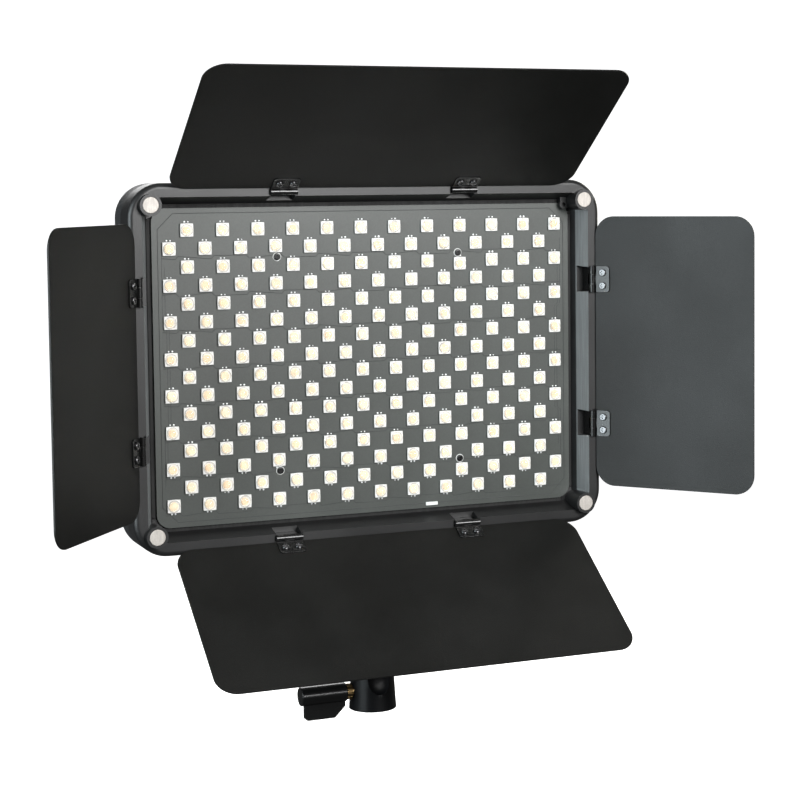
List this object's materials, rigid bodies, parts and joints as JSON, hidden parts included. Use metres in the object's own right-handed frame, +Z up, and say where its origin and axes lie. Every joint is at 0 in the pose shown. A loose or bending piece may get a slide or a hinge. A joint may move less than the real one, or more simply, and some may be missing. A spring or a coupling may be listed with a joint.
{
  "type": "led panel light",
  "caption": "Rectangular LED panel light with four hinged barn doors, corner magnets and a tilting stand socket with a clamp lever.",
  "frame": {"origin": "centre of the stand socket's mouth, on its bore's axis", "axes": "+Z up along the stand socket's bore, the light faces -Y, +X is to the right of someone looking at the lit face"},
  "size_m": [0.415, 0.142, 0.3804],
  "materials": {
    "bezel_plastic": "satin",
    "housing_plastic": "matte",
    "magnet_nickel": "satin",
    "board_mask": "matte",
    "led_white": "satin",
    "led_clear": "gloss",
    "black_screw": "satin",
    "connector_white": "satin",
    "sink_black": "matte",
    "steel_screw": "satin",
    "circuit_green": "satin",
    "component_black": "satin",
    "window_glass": "gloss",
    "display_panel": "gloss",
    "steel_case": "satin",
    "switch_plastic": "satin",
    "jack_metal": "satin",
    "contact_gold": "polished",
    "hinge_black": "gloss",
    "pin_steel": "satin",
    "yoke_metal": "satin",
    "washer_nylon": "satin",
    "grip_plastic": "satin",
    "socket_plastic": "satin",
    "clamp_brass": "satin",
    "rocker_plastic": "gloss",
    "knob_plastic": "satin",
    "button_rubber": "matte",
    "door_metal": "matte"
  },
  "bodies": {
    "stand_mount": {"stand_socket": "socket_plastic"},
    "clamp_pad": {"clamp_shoe": "clamp_brass"},
    "clamp_lever": {"clamp_screw": "clamp_brass", "clamp_grip": "grip_plastic"},
    "panel": {"front_bezel": "bezel_plastic", "corner_magnets": "magnet_nickel", "led_board": "board_mask", "led_packages": "led_white", "led_lenses": "led_clear", "board_screws": "black_screw", "board_connector": "connector_white", "heat_sink": "sink_black", "sink_screws": "steel_screw", "rear_housing": "housing_plastic", "housing_screws": "black_screw", "control_board": "circuit_green", "driver_board": "circuit_green", "driver_components": "component_black", "circuit_screws": "steel_screw", "display_window": "window_glass", "display_module": "display_panel", "encoder_bodies": "steel_case", "button_switches": "component_black", "power_switch": "switch_plastic", "dc_jack": "jack_metal", "battery_contacts": "contact_gold", "plate_screws": "steel_screw", "battery_plate_left": "switch_plastic", "battery_plate_right": "switch_plastic", "fixed_leaves": "hinge_black", "hinge_pins": "pin_steel", "tilt_yoke": "yoke_metal", "yoke_screws": "black_screw", "backing_plate": "steel_case", "tilt_bolt": "steel_screw", "friction_washers": "washer_nylon"},
    "tilt_lever": {"tilt_lever": "grip_plastic"},
    "door_top": {"door_top": "door_metal", "door_top_leaves": "hinge_black", "door_top_fasteners": "hinge_black"},
    "door_bottom": {"door_bottom": "door_metal", "door_bottom_leaves": "hinge_black", "door_bottom_fasteners": "hinge_black"},
    "door_left": {"door_left": "door_metal", "door_left_leaves": "hinge_black", "door_left_fasteners": "hinge_black"},
    "door_right": {"door_right": "door_metal", "door_right_leaves": "hinge_black", "door_right_fasteners": "hinge_black"},
    "brightness_knob": {"brightness_knob": "knob_plastic", "brightness_shaft": "pin_steel"},
    "colour_knob": {"colour_knob": "knob_plastic", "colour_shaft": "pin_steel"},
    "mode_button": {"mode_button": "button_rubber"},
    "menu_button": {"menu_button": "button_rubber"},
    "power_rocker": {"power_rocker": "rocker_plastic"},
    "battery_latch_left": {"battery_latch_left": "rocker_plastic"},
    "battery_latch_right": {"battery_latch_right": "rocker_plastic"}
  },
  "joints": [
    {"name": "tilt", "type": "hinge", "parent": "stand_mount", "child": "panel", "pos_m": [0, 0, 0.072], "axis": [1, 0, 0], "range_deg": [-45, 55]},
    {"name": "tilt_lock", "type": "hinge", "parent": "panel", "child": "tilt_lever", "pos_m": [0.02, 0, 0.072], "axis": [1, 0, 0], "range_deg": [0, 95]},
    {"name": "clamp_travel", "type": "slide", "parent": "stand_mount", "child": "clamp_pad", "axis": [-1, 0, 0], "range_m": [0, 0.0026]},
    {"name": "clamp_turn", "type": "hinge", "parent": "clamp_pad", "child": "clamp_lever", "pos_m": [-0.02, 0, 0.011], "axis": [-1, 0, 0], "range_deg": [0, 720]},
    {"name": "door_top_hinge", "type": "hinge", "parent": "panel", "child": "door_top", "pos_m": [0, -0.0168, 0.30995], "axis": [1, 0, 0], "range_deg": [-2, 98]},
    {"name": "door_bottom_hinge", "type": "hinge", "parent": "panel", "child": "door_bottom", "pos_m": [0, -0.0168, 0.11005], "axis": [-1, 0, 0], "range_deg": [-3.5, 96.5]},
    {"name": "door_left_hinge", "type": "hinge", "parent": "panel", "child": "door_left", "pos_m": [-0.14095, -0.0168, 0.21], "axis": [0, 0, 1], "range_deg": [0, 125]},
    {"name": "door_right_hinge", "type": "hinge", "parent": "panel", "child": "door_right", "pos_m": [0.14095, -0.0168, 0.21], "axis": [0, 0, -1], "range_deg": [0, 125]},
    {"name": "brightness_turn", "type": "hinge", "parent": "panel", "child": "brightness_knob", "pos_m": [0.048, 0.025, 0.22], "axis": [0, 1, 0], "continuous": true},
    {"name": "colour_turn", "type": "hinge", "parent": "panel", "child": "colour_knob", "pos_m": [-0.048, 0.025, 0.22], "axis": [0, 1, 0], "continuous": true},
    {"name": "mode_press", "type": "slide", "parent": "panel", "child": "mode_button", "axis": [0, -1, 0], "range_m": [0, 0.001], "stiffness_N_per_m": 400},
    {"name": "menu_press", "type": "slide", "parent": "panel", "child": "menu_button", "axis": [0, -1, 0], "range_m": [0, 0.001], "stiffness_N_per_m": 400},
    {"name": "power_rock", "type": "hinge", "parent": "panel", "child": "power_rocker", "pos_m": [-0.022, 0.02, 0.136], "axis": [-1, 0, 0], "range_deg": [0, 18]},
    {"name": "latch_left_press", "type": "slide", "parent": "panel", "child": "battery_latch_left", "axis": [0, -1, 0], "range_m": [0, 0.0022], "stiffness_N_per_m": 500},
    {"name": "latch_right_press", "type": "slide", "parent": "panel", "child": "battery_latch_right", "axis": [0, -1, 0], "range_m": [0, 0.0022], "stiffness_N_per_m": 500}
  ],
  "couplings": [
    {"joint": "clamp_travel", "follows": "clamp_turn", "m_per_rad": 0.00019894}
  ]
}
